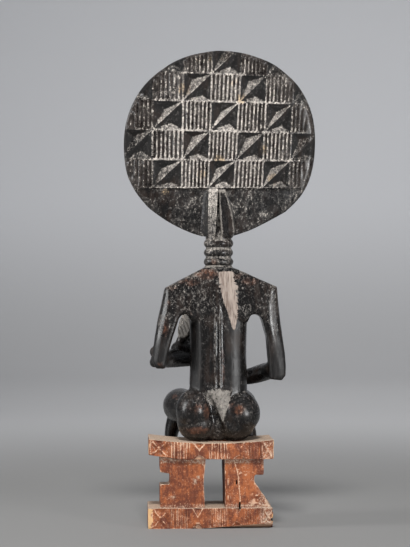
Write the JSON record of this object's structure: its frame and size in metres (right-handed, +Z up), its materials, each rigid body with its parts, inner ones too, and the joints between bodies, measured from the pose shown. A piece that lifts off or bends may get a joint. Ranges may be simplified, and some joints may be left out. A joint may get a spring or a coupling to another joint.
{
  "type": "carved maternity figure",
  "caption": "Carved wooden mother and child seated on a low stool, with a disc head whose back is cut in a chequer of grooves and chips.",
  "frame": {"origin": "middle of the stool's flat underside", "axes": "+Z up, the face looks along -Y, +X is the mother's left side"},
  "size_m": [0.1912, 0.0994, 0.4717],
  "materials": {
    "carved_wood": "dark rubbed patina, stool left red-brown"
  },
  "bodies": {
    "root": {"maternity_figure": "carved_wood"}
  },
  "joints": []
}
